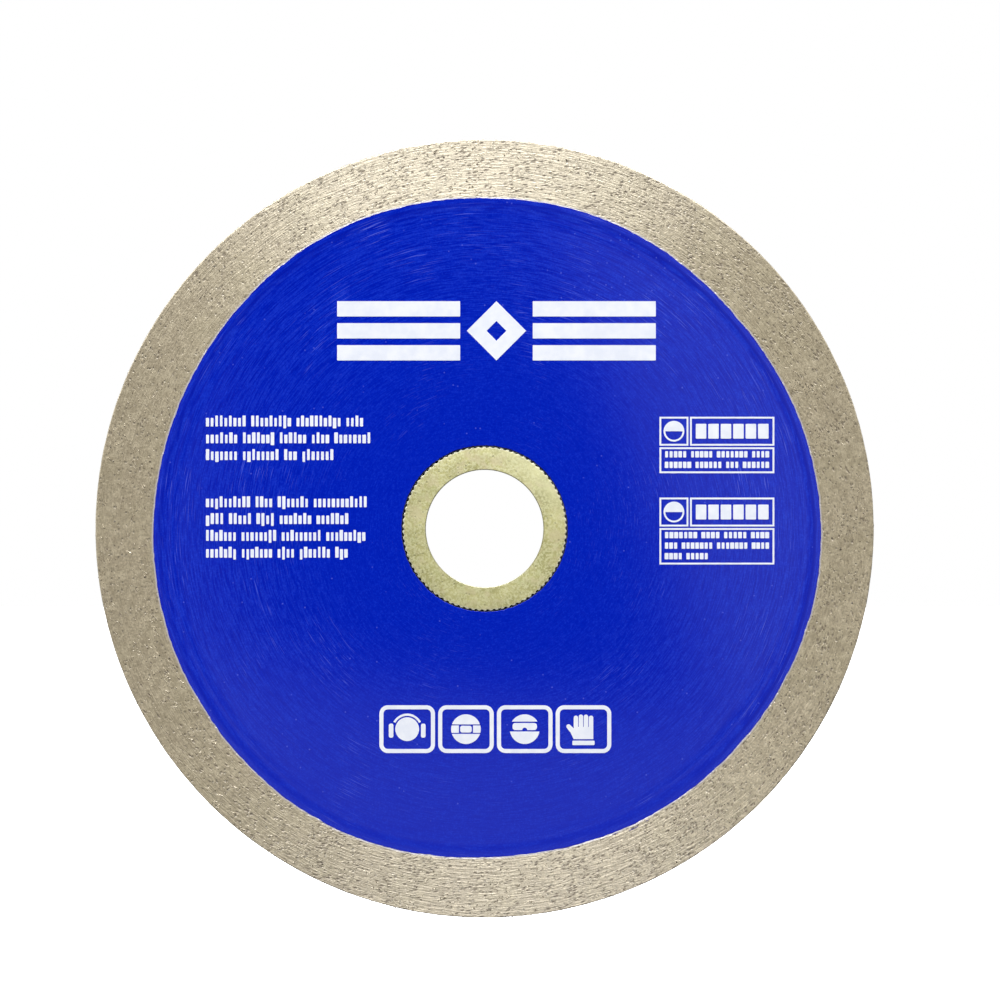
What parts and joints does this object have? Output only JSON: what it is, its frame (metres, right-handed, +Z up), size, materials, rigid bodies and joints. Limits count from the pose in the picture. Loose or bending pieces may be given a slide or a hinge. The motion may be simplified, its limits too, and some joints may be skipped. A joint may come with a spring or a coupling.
{
  "type": "diamond blade",
  "caption": "Continuous-rim diamond cutting disc for tile and masonry: painted steel core, sintered diamond rim and a knurled ring that reduces its arbor hole.",
  "frame": {"origin": "centre of the bushing's bore, in the blade's mid-plane", "axes": "+Y along the spin axis, away from the printed front; +Z up the printed front; +X to the right as the front is seen"},
  "size_m": [0.1051, 0.0022, 0.1052],
  "materials": {
    "core_steel": "bare sheet steel",
    "rim_bond": "sintered metal bond, ground in circles",
    "diamond": "dull crystals",
    "blue_paint": "satin paint with fine circular brushing under it",
    "white_ink": "screen-printed ink",
    "bushing_steel": "pale yellow zinc plating"
  },
  "bodies": {
    "blade": {"steel_core": "core_steel", "diamond_rim": "rim_bond", "diamond_grit": "diamond", "front_paint": "blue_paint", "back_paint": "blue_paint", "front_print": "white_ink", "back_print": "white_ink"},
    "bushing": {"reducer_bushing": "bushing_steel"}
  },
  "joints": [
    {"name": "bushing_knockout", "type": "slide", "parent": "blade", "child": "bushing", "axis": [0, 1, 0], "range_m": [-0.006, 0.006]}
  ]
}
